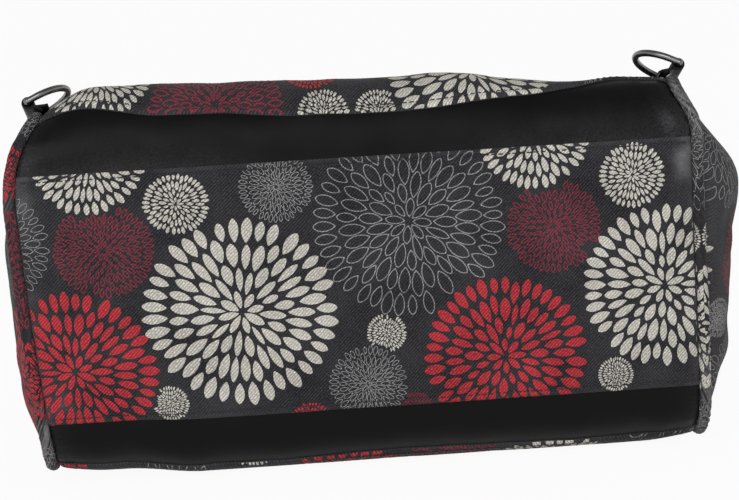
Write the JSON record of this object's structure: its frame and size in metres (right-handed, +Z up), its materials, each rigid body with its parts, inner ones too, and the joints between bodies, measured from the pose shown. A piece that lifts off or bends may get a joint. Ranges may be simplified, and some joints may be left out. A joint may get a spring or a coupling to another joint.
{
  "type": "tote bag",
  "caption": "Soft tote bag with a floral printed base between two leather bands, piped end panels, swinging strap rings and rolled handles, lying on its front panel.",
  "frame": {"origin": "on the ground under the middle of the whole bag with its handles", "axes": "+X along the bag's width to its right end, +Y from base to mouth, +Z up from the front panel to the back panel"},
  "size_m": [0.4352, 0.4144, 0.2305],
  "materials": {
    "printed_cloth": "twill with a printed flower pattern",
    "cream_print": "printed twill",
    "red_print": "printed twill",
    "wine_print": "printed twill",
    "grey_print": "printed twill",
    "black_leather": "satin imitation leather",
    "lining_cloth": "plain weave",
    "board": "matt board",
    "ring_metal": "dull nickel plate"
  },
  "bodies": {
    "bag": {"base_panel": "printed_cloth", "cream_print": "cream_print", "red_print": "red_print", "wine_print": "wine_print", "grey_print": "grey_print", "base_board": "board", "front_band": "black_leather", "back_band": "black_leather", "front_panel": "printed_cloth", "back_panel": "printed_cloth", "left_gusset": "printed_cloth", "right_gusset": "printed_cloth", "left_piping": "printed_cloth", "right_piping": "printed_cloth", "body_lining": "lining_cloth", "left_lining": "lining_cloth", "right_lining": "lining_cloth", "mouth_facing": "black_leather", "front_handle": "black_leather", "back_handle": "black_leather", "left_ring_tab": "black_leather", "right_ring_tab": "black_leather"},
    "left_ring": {"left_ring": "ring_metal"},
    "right_ring": {"right_ring": "ring_metal"}
  },
  "joints": [
    {"name": "left_ring_swing", "type": "hinge", "parent": "bag", "child": "left_ring", "pos_m": [-0.1875, -0.15998, 0.21612], "axis": [0, -0.9397, 0.342], "range_deg": [0, 160]},
    {"name": "right_ring_swing", "type": "hinge", "parent": "bag", "child": "right_ring", "pos_m": [0.1875, -0.15998, 0.21612], "axis": [0, 0.9397, -0.342], "range_deg": [0, 160]}
  ]
}
